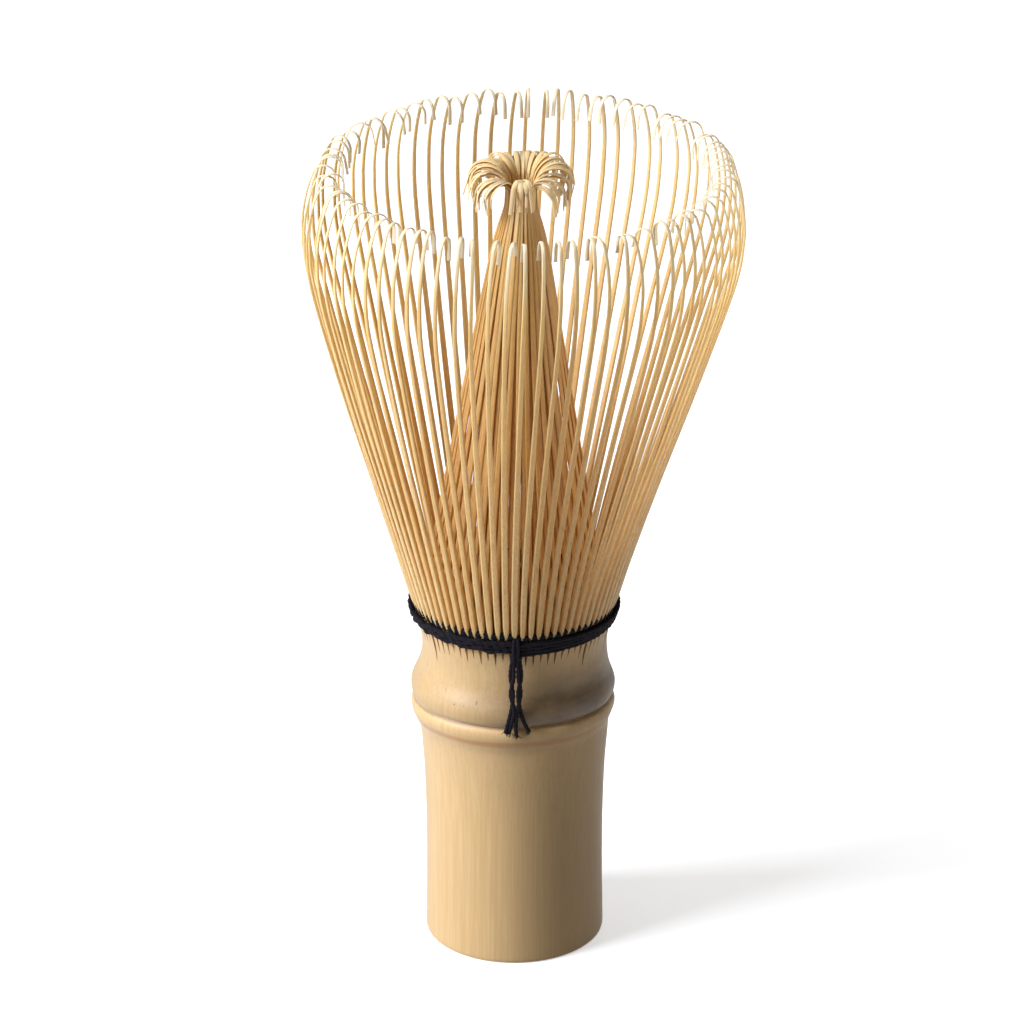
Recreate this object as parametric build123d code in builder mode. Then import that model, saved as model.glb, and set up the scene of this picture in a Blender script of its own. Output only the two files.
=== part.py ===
from build123d import *
import os
from math import radians, tan

# Bamboo tea whisk in millimetres, +Z up, origin at the centre of the handle's flat end.
# One length of bamboo is left whole up to its kerfs and split above them into two rings of
# tines: eighty wide outer tines that flare to a hooked rim, and eighty narrow inner tines
# drawn together into a curled bundle. A black thread is woven between the two rings, wound
# round the outside of the roots and knotted at the front (-Y), where its ends hang down.
# Every tine is a solid of its own. Five neighbours, one sixteenth of the ring, share a node,
# as the sixteen first splits of the craft leave them.

# ---------------------------------------------------------------- handle
END_R = 12.0
END_CHAMFER = 0.3
BORE_R = 7.75
BORE_DEPTH = 31.0
DIAPHRAGM_TOP = 35.0
UPPER_HOLLOW_R = 11.3
KERF_FOOT = 45.3

# Outside of the culm as (radius, height): grip, the node's two ridges with the groove
# between them, and the carved waist that runs out into the tine roots.
CULM_OUTLINE = [
    (11.86, 8.0),
    (11.90, 18.0),
    (12.13, 25.0),
    (12.55, 30.3),
    (13.05, 32.3),
    (13.43, 33.6),
    (13.20, 35.0),
    (13.60, 36.7),
    (13.05, 38.6),
    (12.42, 40.8),
    (12.29, 42.8),
    (12.66, KERF_FOOT),
]

# ---------------------------------------------------------------- tine roots
TINES = 80
SECTORS = 16
TINES_PER_SECTOR = TINES // SECTORS
PITCH_DEG = 360 / TINES
SECTOR_DEG = 360 / SECTORS
BLADE_FACETS = 12
SHOULDER_FACETS = 4
HOOK_FACETS = 8
ROOT_TOP = 49.9
TINE_FOOT = 50.05
OUTER_TINE_WIDTH = 0.74
OUTER_SLOT_WIDTH = 0.30
INNER_TINE_WIDTH = 0.50
INNER_SLOT_WIDTH = 0.45
SPLIT_HEIGHT = 46.0
SPLIT_R = 12.42
INNER_ROOT_INSIDE_R = 11.8
RING_GAP = 0.03
SLOT_DEPTH = 3.0
CUT_MARGIN = 0.2

# Outer roots as (radius, height): pinched under the thread, flaring at their tops.
OUTER_ROOT_FACE = [(12.66, KERF_FOOT), (13.00, 46.8), (13.30, 48.3), (13.55, 49.2), (13.97, ROOT_TOP)]
OUTER_ROOT_TOP_INSIDE_R = 13.30

# ---------------------------------------------------------------- outer tines
OUTER_ROOT_THICK = 0.70
OUTER_TIP_THICK = 0.22
# Middle line of an outer tine up to its shoulder as (radius, height).
OUTER_BLADE = [
    (13.70, TINE_FOOT),
    (15.50, 56.3),
    (19.35, 68.4),
    (23.22, 80.6),
    (26.83, 92.9),
    (28.05, 98.0),
    (28.37, 101.75),
]
SHOULDER_R = 20.0
SHOULDER_DEG = 24.0
HOOK_R = 2.1
HOOK_DEG = 154.0
HOOK_LEG_R = 20.0
HOOK_LEG_DEG = 4.3

# ---------------------------------------------------------------- inner tines
INNER_ROOT_THICK = 0.45
INNER_TIP_THICK = 0.18
INNER_WEDGE_HALF_DEG = 1.7
# Middle line of an inner tine from its root to the neck of the bundle as (radius, height).
INNER_STEM = [
    (12.05, TINE_FOOT),
    (8.78, 69.2),
    (4.53, 94.4),
    (2.95, 102.0),
    (2.22, 105.2),
    (2.10, 107.9),
]
CURL_R = 2.4
CURL_DEG = 180.0
CURL_LEG = 2.0
WEDGE_REACH = 14.0
WEDGE_HEIGHT = 62.0

# ---------------------------------------------------------------- thread
THREAD_D = 0.60
BINDING_TURNS = 4
BINDING_FIRST_Z = 47.30
BINDING_RISE = 0.56
BINDING_FIRST_R = 13.44
BINDING_FLARE = 0.125
WEAVING_D = 0.72
# Turns of the woven thread between the two rings of roots as (radius, height).
WEAVING_TURNS = [(12.80, 49.45), (12.90, 50.12), (13.03, 50.78)]
KNOT_SIDE = 0.20
KNOT_FRONT_R = 14.35
KNOT_Z = 46.60
KNOT_HALF_WIDTH = 0.95
KNOT_HALF_HEIGHT = 0.50
KNOT_HALF_DEPTH = 0.45
KNOT_ROUND = 0.25
CINCH_TOP = 49.85
CINCH_BOTTOM = 46.3
CINCH_R = 14.52
CINCH_WIDTH = 0.95
CINCH_DEPTH = 0.45
CINCH_ROUND = 0.40
TAIL_D = 0.44
TAIL_TOP = 46.5
TAIL_END = 35.7
# Sideways places of the four thread ends at four heights, from the knot down to the cut end.
TAIL_HEIGHTS = [TAIL_TOP, 42.9, 39.2, TAIL_END]
TAIL_FRONT = [14.35, 14.12, 14.05, 14.22]
TAIL_SIDEWAYS = [
    (-0.49, -0.52, -0.62, -1.18),
    (-0.03, -0.05, -0.14, -0.68),
    (0.43, 0.42, 0.34, 0.24),
    (0.89, 0.92, 0.86, 1.95),
]
TAIL_ARC_SHARE = 0.45


def strip_outline(stretches, root_thick, tip_thick):
    """Closed outline of a strip split into flat facets, thinning evenly from root to tip.

    Each stretch is an edge of the strip's middle line with its number of facets.
    """
    length = sum(edge.length for edge, facets in stretches)
    outside = []
    inside = []
    run = 0.0
    for edge, facets in stretches:
        first = 0 if run == 0 else 1
        for station in range(first, facets + 1):
            share = station / facets
            half = (root_thick + (tip_thick - root_thick) * (run + edge.length * share) / length) / 2
            along = edge % share
            across = Vector(along.Y, -along.X) * half
            outside.append((edge @ share) + across)
            inside.append((edge @ share) - across)
        run += edge.length
    Polyline(*outside, *reversed(inside), close=True)


def sector_of(tine, middle_deg, name):
    """Five neighbouring copies of a tine about the whisk's axis, as separate solids."""
    first_deg = middle_deg - (TINES_PER_SECTOR - 1) / 2 * PITCH_DEG
    copies = [tine.rotate(Axis.Z, first_deg + place * PITCH_DEG) for place in range(TINES_PER_SECTOR)]
    return Compound(children=copies, label=name)


def tail_arc_radii(route):
    """Largest arc that the two runs beside each corner of a route leave room for."""
    radii = []
    for before, corner, after in zip(route, route[1:], route[2:]):
        shorter = min((corner - before).length, (after - corner).length)
        turn = radians((corner - before).get_angle(after - corner))
        radii.append(TAIL_ARC_SHARE * shorter / tan(turn / 2))
    return radii


def export_piece(builder, name):
    """Label a finished piece and write it to its own file."""
    builder.part.label = name
    export_step(builder.part, f"parts/{name}.step")


os.makedirs("parts", exist_ok=True)

# ================================================================ handle
with BuildPart() as handle:
    # Whole culm: blind bore below the node's diaphragm, open hollow above it.
    with BuildSketch(Plane.XZ):
        with BuildLine():
            Polyline((BORE_R, 0), (END_R - END_CHAMFER, 0), (END_R, END_CHAMFER))
            Spline((END_R, END_CHAMFER), *CULM_OUTLINE)
            Polyline(
                CULM_OUTLINE[-1],
                (UPPER_HOLLOW_R, KERF_FOOT),
                (UPPER_HOLLOW_R, DIAPHRAGM_TOP),
                (0, DIAPHRAGM_TOP),
                (0, BORE_DEPTH),
                (BORE_R, BORE_DEPTH),
                (BORE_R, 0),
            )
        make_face()
    revolve(axis=Axis.Z)

    # Ring of outer roots, leaning out, on the common wall below the split.
    with BuildSketch(Plane.XZ):
        with BuildLine():
            Polyline(*OUTER_ROOT_FACE)
            Polyline(
                OUTER_ROOT_FACE[-1],
                (OUTER_ROOT_TOP_INSIDE_R, ROOT_TOP),
                (SPLIT_R, SPLIT_HEIGHT),
                (UPPER_HOLLOW_R, SPLIT_HEIGHT),
                (UPPER_HOLLOW_R, KERF_FOOT),
                OUTER_ROOT_FACE[0],
            )
        make_face()
    revolve(axis=Axis.Z)
    with BuildSketch(Plane.XY.offset(KERF_FOOT)):
        with PolarLocations(SPLIT_R, TINES, start_angle=PITCH_DEG / 2):
            Rectangle(SLOT_DEPTH, OUTER_SLOT_WIDTH, align=(Align.MIN, Align.CENTER))
    extrude(amount=ROOT_TOP - KERF_FOOT, mode=Mode.SUBTRACT)

    # Ring of inner roots behind them, one in line with each outer slot.
    with BuildSketch(Plane.XY.offset(SPLIT_HEIGHT)):
        Circle(SPLIT_R - RING_GAP)
        Circle(INNER_ROOT_INSIDE_R, mode=Mode.SUBTRACT)
        with PolarLocations(INNER_ROOT_INSIDE_R - CUT_MARGIN, TINES):
            Rectangle(
                SPLIT_R - INNER_ROOT_INSIDE_R + 2 * CUT_MARGIN,
                INNER_SLOT_WIDTH,
                align=(Align.MIN, Align.CENTER),
                mode=Mode.SUBTRACT,
            )
    extrude(amount=ROOT_TOP - SPLIT_HEIGHT)
export_piece(handle, "handle")

# ================================================================ outer tines
with BuildLine() as outer_middle:
    blade = Spline(*OUTER_BLADE)
    shoulder = JernArc(start=blade @ 1, tangent=blade % 1, radius=SHOULDER_R, arc_size=SHOULDER_DEG)
    hook = JernArc(start=shoulder @ 1, tangent=shoulder % 1, radius=HOOK_R, arc_size=HOOK_DEG)
    hook_leg = JernArc(start=hook @ 1, tangent=hook % 1, radius=HOOK_LEG_R, arc_size=HOOK_LEG_DEG)

with BuildPart() as outer_tine:
    with BuildSketch(Plane.XZ):
        with BuildLine():
            strip_outline(
                [(blade, BLADE_FACETS), (shoulder, SHOULDER_FACETS), (hook, HOOK_FACETS), (hook_leg, 1)],
                OUTER_ROOT_THICK,
                OUTER_TIP_THICK,
            )
        make_face()
    extrude(amount=OUTER_TINE_WIDTH / 2, both=True)

for sector in range(SECTORS):
    name = f"outer_tines_{sector + 1:02d}"
    export_step(sector_of(outer_tine.part, sector * SECTOR_DEG, name), f"parts/{name}.step")

# ================================================================ inner tines
with BuildLine() as inner_middle:
    stem = Spline(*INNER_STEM)
    curl = JernArc(start=stem @ 1, tangent=stem % 1, radius=CURL_R, arc_size=-CURL_DEG)
    curl_leg = Line(curl @ 1, (curl @ 1) + (curl % 1) * CURL_LEG)

with BuildPart() as inner_tine:
    with BuildSketch(Plane.XZ):
        with BuildLine():
            strip_outline(
                [(stem, BLADE_FACETS), (curl, HOOK_FACETS), (curl_leg, 1)],
                INNER_ROOT_THICK,
                INNER_TIP_THICK,
            )
        make_face()
    extrude(amount=INNER_TINE_WIDTH / 2, both=True)
    # Its sides close in towards the axis, so that eighty of them pass through the neck.
    with BuildSketch(Plane.XY.offset(TINE_FOOT - CUT_MARGIN)):
        wedge_half_width = WEDGE_REACH * tan(radians(INNER_WEDGE_HALF_DEG))
        Polygon((0, 0), (WEDGE_REACH, -wedge_half_width), (WEDGE_REACH, wedge_half_width), align=None)
    extrude(amount=WEDGE_HEIGHT, mode=Mode.INTERSECT)

for sector in range(SECTORS):
    name = f"inner_tines_{sector + 1:02d}"
    middle_deg = sector * SECTOR_DEG + PITCH_DEG / 2
    export_step(sector_of(inner_tine.part, middle_deg, name), f"parts/{name}.step")

# ================================================================ thread
# The winding round the outside of the roots, turn upon turn up the flare.
with BuildPart() as binding_thread:
    with BuildSketch(Plane.XZ):
        for turn in range(BINDING_TURNS):
            turn_r = BINDING_FIRST_R + turn * BINDING_FLARE
            with Locations((turn_r, BINDING_FIRST_Z + turn * BINDING_RISE)):
                Circle(THREAD_D / 2)
    revolve(axis=Axis.Z)
export_piece(binding_thread, "binding_thread")

# The weave behind the outer tines and in front of the inner ones, which holds them apart.
with BuildPart() as weaving_thread:
    with BuildSketch(Plane.XZ):
        with Locations(*WEAVING_TURNS):
            Circle(WEAVING_D / 2)
    revolve(axis=Axis.Z)
export_piece(weaving_thread, "weaving_thread")

# The knot under the winding, with the cinching loop that runs up over it at the front.
with BuildPart() as thread_knot:
    with BuildSketch(Plane.XZ.offset(KNOT_FRONT_R - KNOT_HALF_DEPTH)):
        with Locations((KNOT_SIDE, KNOT_Z)):
            Ellipse(KNOT_HALF_WIDTH, KNOT_HALF_HEIGHT)
    extrude(amount=2 * KNOT_HALF_DEPTH)
    fillet(thread_knot.edges(), radius=KNOT_ROUND)
    with BuildSketch(Plane.XZ.offset(CINCH_R - CINCH_DEPTH)):
        with Locations((KNOT_SIDE, (CINCH_TOP + CINCH_BOTTOM) / 2)):
            RectangleRounded(CINCH_WIDTH, CINCH_TOP - CINCH_BOTTOM, CINCH_ROUND)
    extrude(amount=CINCH_DEPTH)
export_piece(thread_knot, "thread_knot")

# The four cut ends that hang from the knot down to the node.
for number, sideways in enumerate(TAIL_SIDEWAYS, start=1):
    route = []
    for side, front, height in zip(sideways, TAIL_FRONT, TAIL_HEIGHTS):
        route.append(Vector(side, -front, height))
    arc_radii = tail_arc_radii(route)
    print(f"thread_tail_{number} bends at radii of", [round(arc, 1) for arc in arc_radii], "mm")
    with BuildPart() as thread_tail:
        with BuildLine():
            tail_line = FilletPolyline(*route, radius=arc_radii)
        with BuildSketch(Plane(origin=tail_line @ 0, z_dir=tail_line % 0)):
            Circle(TAIL_D / 2)
        sweep()
    export_piece(thread_tail, f"thread_tail_{number}")
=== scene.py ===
import math
import random

import bpy
import numpy as np
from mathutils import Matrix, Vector


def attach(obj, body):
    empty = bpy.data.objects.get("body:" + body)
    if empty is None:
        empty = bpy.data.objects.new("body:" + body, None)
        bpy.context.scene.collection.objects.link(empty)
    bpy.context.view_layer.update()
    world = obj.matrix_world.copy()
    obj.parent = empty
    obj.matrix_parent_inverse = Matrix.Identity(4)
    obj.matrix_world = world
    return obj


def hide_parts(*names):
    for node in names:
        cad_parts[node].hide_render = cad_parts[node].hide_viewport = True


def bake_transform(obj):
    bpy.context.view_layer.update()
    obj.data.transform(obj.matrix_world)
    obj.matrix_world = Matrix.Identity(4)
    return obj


# Looks of the bamboo tea whisk. Lengths in this script are millimetres in the CAD's frame,
# and MM turns them into Blender's metres when a mesh is made.
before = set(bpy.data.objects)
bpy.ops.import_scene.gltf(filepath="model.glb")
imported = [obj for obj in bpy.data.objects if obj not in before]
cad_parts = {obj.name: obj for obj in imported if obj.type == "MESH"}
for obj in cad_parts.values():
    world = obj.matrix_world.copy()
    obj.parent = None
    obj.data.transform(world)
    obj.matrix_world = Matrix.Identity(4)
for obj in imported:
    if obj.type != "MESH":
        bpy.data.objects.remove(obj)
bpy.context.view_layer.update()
MM = 0.001
scene = bpy.context.scene

TINES = 80
SECTORS = 16
TINES_PER_SECTOR = TINES // SECTORS
PITCH = 2 * math.pi / TINES
ROOT_BODY = "whisk_handle"
FRONT = -math.pi / 2
# Seeds of the random variation.
CULM_SEED = 11
OUTER_SEED = 23
INNER_SEED = 37
FIBRE_SEED = 5

# ------------------------------------------------------------------ camera
CAMERA_ELEVATION = math.radians(25.08)
CAMERA_DISTANCE = 759.0
CAMERA_LENS = 201.1
CAMERA_SENSOR = 36.0
MIDDLE_Z = 55.585
AIM_ABOVE_MIDDLE = 5.96
AIM_LEFT = 0.33


def make_camera():
    """The one camera. It sees the knot side, a little from above."""
    middle = Vector((0, 0, MIDDLE_Z))
    back = Vector((0, -math.cos(CAMERA_ELEVATION), math.sin(CAMERA_ELEVATION)))
    place = middle + back * CAMERA_DISTANCE
    aim = middle + Vector((-AIM_LEFT, 0, AIM_ABOVE_MIDDLE))
    data = bpy.data.cameras.new("camera")
    data.lens = CAMERA_LENS
    data.sensor_width = CAMERA_SENSOR
    camera = bpy.data.objects.new("camera", data)
    camera.location = place * MM
    camera.rotation_euler = (aim - place).to_track_quat("-Z", "Y").to_euler()
    scene.collection.objects.link(camera)
    scene.camera = camera


# ------------------------------------------------------------------ small maths
def smooth_step(value, low, high):
    """0 below low, 1 above high, and a smooth rise between them."""
    t = np.clip((np.asarray(value, float) - low) / (high - low), 0.0, 1.0)
    return t * t * (3 - 2 * t)


def smooth_path(points, step):
    """Points about step apart on a smooth curve through the given ones (Catmull-Rom)."""
    p = np.asarray(points, float)
    p = np.vstack([2 * p[0] - p[1], p, 2 * p[-1] - p[-2]])
    made = []
    for a, b, c, d in zip(p, p[1:], p[2:], p[3:]):
        count = max(1, round(np.linalg.norm(c - b) / step))
        t = np.arange(count)[:, None] / count
        made.append(0.5 * (2 * b + (c - a) * t + (2 * a - 5 * b + 4 * c - d) * t**2
                           + (3 * b - a - 3 * c + d) * t**3))
    return np.vstack(made + [p[-2:-1]])


def directions(path):
    """Unit directions along a path."""
    d = np.gradient(path, axis=0)
    return d / np.linalg.norm(d, axis=1)[:, None]


def distances(path):
    """Distance of each point from the start, along a path."""
    return np.concatenate([[0], np.cumsum(np.linalg.norm(np.diff(path, axis=0), axis=1))])


LEAN_FOOT = 55.0
LEAN_SPAN = 45.0
LEAN_SIDE = 1.17
LEAN_POWER = 1.4


def leaned(points, share=1.0):
    """The head of the whisk leans a little to the right of the knot."""
    out = np.array(points, float)
    rise = np.clip((out[..., 2] - LEAN_FOOT) / LEAN_SPAN, 0, None)
    out[..., 0] += share * LEAN_SIDE * rise**LEAN_POWER
    return out


# ------------------------------------------------------------------ mesh building
class MeshParts:
    """Collects tubes and strips with their point attributes, and makes one object of them."""

    def __init__(self):
        self.verts = []
        self.faces = []
        self.tone = []
        self.along = []
        self.count = 0

    def add_rings(self, rings, tone, along):
        """A closed tube through rings of points, with a flat end at each end."""
        n, sides, _ = rings.shape
        base = self.count
        self.verts.append(rings.reshape(-1, 3))
        grid = base + np.arange(n * sides).reshape(n, sides)
        after = np.roll(grid, -1, axis=1)
        quads = np.stack([grid[:-1], after[:-1], after[1:], grid[1:]], axis=-1).reshape(-1, 4)
        self.faces += quads.tolist()
        self.faces.append(grid[0][::-1].tolist())
        self.faces.append(grid[-1].tolist())
        self.tone.append(np.full(n * sides, tone))
        self.along.append(np.repeat(along, sides))
        self.count += n * sides

    def make(self, name, material, sharp_deg):
        """The collected tubes as one object. Edges over sharp_deg stay sharp."""
        mesh = bpy.data.meshes.new(name)
        mesh.from_pydata((np.vstack(self.verts) * MM).tolist(), [], self.faces)
        for key, values in (("tone", self.tone), ("along", self.along)):
            attribute = mesh.attributes.new(key, "FLOAT", "POINT")
            attribute.data.foreach_set("value", np.concatenate(values).astype(np.float32))
        mesh.shade_smooth()
        mesh.set_sharp_from_angle(angle=math.radians(sharp_deg))
        mesh.materials.append(material)
        piece = bpy.data.objects.new(name, mesh)
        scene.collection.objects.link(piece)
        return piece


CULM_SHARP_DEG = 48
STRIP_SHARP_DEG = 30
YARN_SHARP_DEG = 60

# Corners of a strip's section as shares of its half width and half thickness: flat faces
# with planed edges.
SECTION = np.array([(-0.62, 1.0), (0.62, 1.0), (1.0, 0.5), (1.0, -0.55),
                    (0.7, -1.0), (-0.7, -1.0), (-1.0, -0.55), (-1.0, 0.5)])


def strip_rings(path, side, width, thick):
    """Rings of a flat strip along a path. side points across its width at each point."""
    along = directions(path)
    side = side - (side * along).sum(1)[:, None] * along
    side /= np.linalg.norm(side, axis=1)[:, None]
    face = np.cross(side, along)
    a = side[:, None, :] * (width[:, None] / 2 * SECTION[None, :, 0])[..., None]
    b = face[:, None, :] * (thick[:, None] / 2 * SECTION[None, :, 1])[..., None]
    return path[:, None, :] + a + b


PLY_GROOVE = 0.20


def yarn_rings(path, radius, plies, lay, sides):
    """Rings of a twisted thread: its plies show as a winding swell of the section."""
    along = directions(path)
    run = distances(path)
    up = np.empty_like(path)
    last = np.array((0, 0, 1.0)) if abs(along[0][2]) < 0.9 else np.array((1.0, 0, 0))
    for i, direction in enumerate(along):
        last = last - last @ direction * direction
        last /= np.linalg.norm(last)
        up[i] = last
    across = np.cross(along, up)
    angle = np.arange(sides) / sides * 2 * math.pi
    turn = angle[None, :] + (run / lay * 2 * math.pi)[:, None]
    swell = radius * (1 - PLY_GROOVE + PLY_GROOVE * np.abs(np.cos(turn * plies / 2)))
    return (path[:, None, :] + across[:, None, :] * (np.cos(angle) * swell)[..., None]
            + up[:, None, :] * (np.sin(angle) * swell)[..., None])


# ------------------------------------------------------------------ materials
class Nodes:
    """Short calls for building one node material."""

    def __init__(self, name):
        self.material = bpy.data.materials.new(name)
        self.material.use_nodes = True
        self.tree = self.material.node_tree
        self.shader = self.tree.nodes["Principled BSDF"]

    def node(self, kind, settings=None, **inputs):
        """A new node with its settings, and its inputs as numbers or links."""
        made = self.tree.nodes.new(kind)
        for key, value in (settings or {}).items():
            setattr(made, key, value)
        for key, value in inputs.items():
            self.put(made.inputs[key.replace("_", " ")], value)
        return made

    def put(self, socket, value):
        """Links a socket to another, or sets its constant."""
        if isinstance(value, bpy.types.NodeSocket):
            self.tree.links.new(value, socket)
        else:
            socket.default_value = value

    def maths(self, operation, a, b):
        made = self.node("ShaderNodeMath", {"operation": operation})
        self.put(made.inputs[0], a)
        self.put(made.inputs[1], b)
        return made.outputs[0]

    def ramp(self, value, low, high, to_low=0.0, to_high=1.0):
        """A smooth rise or fall from to_low to to_high while value goes from low to high."""
        made = self.node("ShaderNodeMapRange", {"interpolation_type": "SMOOTHSTEP"}, Value=value)
        for key, number in (("From Min", low), ("From Max", high), ("To Min", to_low), ("To Max", to_high)):
            made.inputs[key].default_value = number
        return made.outputs[0]

    def band(self, value, start, full, fading, end):
        """1 from full to fading, 0 outside start and end, with smooth sides."""
        return self.maths("MULTIPLY", self.ramp(value, start, full), self.ramp(value, end, fading))

    def noise(self, x, y, z, detail, roughness):
        """Noise with x, y and z cells in a millimetre along the axes."""
        made = self.node("ShaderNodeTexNoise", Vector=self.stretched(x, y, z), Scale=1.0, Detail=detail,
                         Roughness=roughness)
        return made.outputs[0]

    def mix(self, share, a, b):
        """Colour a where share is 0, and b where it is 1."""
        made = self.node("ShaderNodeMix", {"data_type": "RGBA"})
        self.put(made.inputs[0], share)
        self.put(made.inputs[6], a)
        self.put(made.inputs[7], b)
        return made.outputs[2]

    def stretched(self, x, y, z):
        """Object coordinates in millimetres, scaled along each axis."""
        place = self.node("ShaderNodeTexCoord").outputs["Object"]
        made = self.node("ShaderNodeMapping", Vector=place)
        made.inputs["Scale"].default_value = (x / MM, y / MM, z / MM)
        return made.outputs[0]

    def bump(self, height, depth_mm, strength):
        made = self.node("ShaderNodeBump", Height=height, Strength=strength, Distance=depth_mm * MM)
        self.tree.links.new(made.outputs[0], self.shader.inputs["Normal"])


def colour(red, green, blue):
    """Linear colour with alpha from display values between 0 and 255."""
    def linear(value):
        value /= 255
        return value / 12.92 if value <= 0.04045 else ((value + 0.055) / 1.055) ** 2.4
    return (linear(red), linear(green), linear(blue), 1.0)


# Display colours of the culm's skin and of its marks.
SKIN_DULL = (212, 172, 113)
SKIN_BRIGHT = (223, 187, 130)
SKIN_CLOUD = (210, 172, 120)
HAIRLINE = (176, 138, 92)
# The stain colour stands for real smudges near the node and also for painted shade on their right side.
STAIN_AND_SHADE = (88, 66, 42)
GROOVE_LINE = (112, 80, 46)
RIDGE_LINE = (190, 130, 62)
SPECK = (92, 66, 40)
FIBRE_END = (140, 98, 52)
# Heights of the marks on the axis: where each starts, is full, fades and ends.
BELT = (34.6, 35.6, 37.0, 46.5)
GROOVE_MARK = (34.9, 35.3, 35.4, 35.9)
RIDGE_MARK = (32.1, 32.7, 32.9, 33.5)
SPECKLED = (35.5, 36.5, 38.0, 44.0)
# The stain also paints shade: it is deepest right of the knot, away from the key lamp, and pales towards
# the left.
STAIN_SHADE_LEFT = -8.0
STAIN_SHADE_RIGHT = 4.0
RIDGE_R = 13.3
NODE_TILT = 1.15


def culm_material():
    """Bamboo skin: satin, fine lengthwise fibres, smudges and specks near the node, and painted shade
    deepening the smudges on the right.
    """
    n = Nodes("culm_bamboo")
    parts = n.node("ShaderNodeSeparateXYZ", Vector=n.stretched(1, 1, 1)).outputs
    height = parts[2]
    fibre = n.noise(2.6, 2.6, 0.05, 4.0, 0.6)
    hair = n.noise(7.0, 7.0, 0.12, 2.0, 0.5)
    cloud = n.noise(0.10, 0.10, 0.06, 3.0, 0.5)
    smudge = n.noise(0.22, 0.22, 0.55, 4.0, 0.6)
    specks = n.noise(1.5, 1.5, 0.9, 2.0, 0.5)
    tint = n.mix(n.ramp(fibre, 0.35, 0.68), colour(*SKIN_DULL), colour(*SKIN_BRIGHT))
    tint = n.mix(n.ramp(cloud, 0.35, 0.7, 0.0, 0.45), tint, colour(*SKIN_CLOUD))
    tint = n.mix(n.ramp(hair, 0.56, 0.74, 0.0, 0.22), tint, colour(*HAIRLINE))
    # The node is tilted: its lines stand higher on the knot side.
    level = n.maths("ADD", height, n.maths("MULTIPLY", parts[1], NODE_TILT / RIDGE_R))
    # Painted shade: this ramp deepens the stain towards the right, away from the key lamp, on top of the
    # real smudges.
    sideways = n.ramp(parts[0], STAIN_SHADE_LEFT, STAIN_SHADE_RIGHT, 0.26, 1.0)
    stain_and_shade_mask = n.maths("MULTIPLY", n.band(level, *BELT), sideways)
    stain_and_shade = n.maths("MULTIPLY", stain_and_shade_mask, n.ramp(smudge, 0.30, 0.70, 0.78, 1.0))
    tint = n.mix(stain_and_shade, tint, colour(*STAIN_AND_SHADE))
    # Thin dark line in the groove, and the orange-brown line under the lower ridge.
    wavy = n.maths("ADD", level, n.maths("MULTIPLY", smudge, 0.6))
    groove = n.band(wavy, *GROOVE_MARK)
    tint = n.mix(n.maths("MULTIPLY", groove, 0.6), tint, colour(*GROOVE_LINE))
    ridge = n.maths("MULTIPLY", n.band(wavy, *RIDGE_MARK), n.ramp(cloud, 0.3, 0.6, 0.25, 0.8))
    tint = n.mix(ridge, tint, colour(*RIDGE_LINE))
    specked = n.maths("MULTIPLY", n.band(level, *SPECKLED), n.ramp(specks, 0.68, 0.74, 0.0, 0.55))
    tint = n.mix(specked, tint, colour(*SPECK))
    # The cut end shows the ends of the fibre bundles.
    cells = n.node("ShaderNodeTexVoronoi", Vector=n.stretched(1, 1, 1), Scale=1.9).outputs["Distance"]
    normal = n.node("ShaderNodeNewGeometry").outputs["Normal"]
    upward = n.node("ShaderNodeSeparateXYZ", Vector=normal).outputs[2]
    cut_end = n.maths("MULTIPLY", n.ramp(upward, -0.7, -0.9), n.ramp(height, 1.0, 0.2))
    dots = n.maths("MULTIPLY", cut_end, n.ramp(cells, 0.34, 0.16, 0.0, 0.8))
    tint = n.mix(dots, tint, colour(*FIBRE_END))
    n.put(n.shader.inputs["Base Color"], tint)
    n.put(n.shader.inputs["Roughness"], n.ramp(fibre, 0.3, 0.75, 0.54, 0.66))
    n.put(n.shader.inputs["Specular IOR Level"], 0.55)
    n.put(n.shader.inputs["Coat Weight"], 0.2)
    n.put(n.shader.inputs["Coat Roughness"], 0.42)
    n.put(n.shader.inputs["Sheen Weight"], n.ramp(stain_and_shade, 0.2, 0.9, 0.45, 0.1))
    n.put(n.shader.inputs["Sheen Roughness"], 0.45)
    n.put(n.shader.inputs["Sheen Tint"], (0.96, 0.90, 0.78, 1.0))
    relief = n.maths("ADD", n.maths("MULTIPLY", fibre, 0.5), n.maths("MULTIPLY", hair, 0.5))
    n.bump(relief, 0.05, 0.5)
    return n.material


# Display colours of a strip: three of its bamboo, then its paler stem and its pale tip, partly the shaved
# end's own colour and partly painted light shining through the thin tip.
OUTER_COLOURS = [(236, 199, 137), (226, 182, 112), (184, 131, 64), (236, 194, 129), (241, 219, 186)]
INNER_COLOURS = [(221, 174, 104), (202, 149, 78), (150, 99, 40), (208, 158, 88), (246, 213, 161)]
OUTER_TIP_FROM = 0.77
INNER_TIP_FROM = 0.80
TIP_FULL = 0.97
GLOW_DEPTH = 0.9


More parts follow.
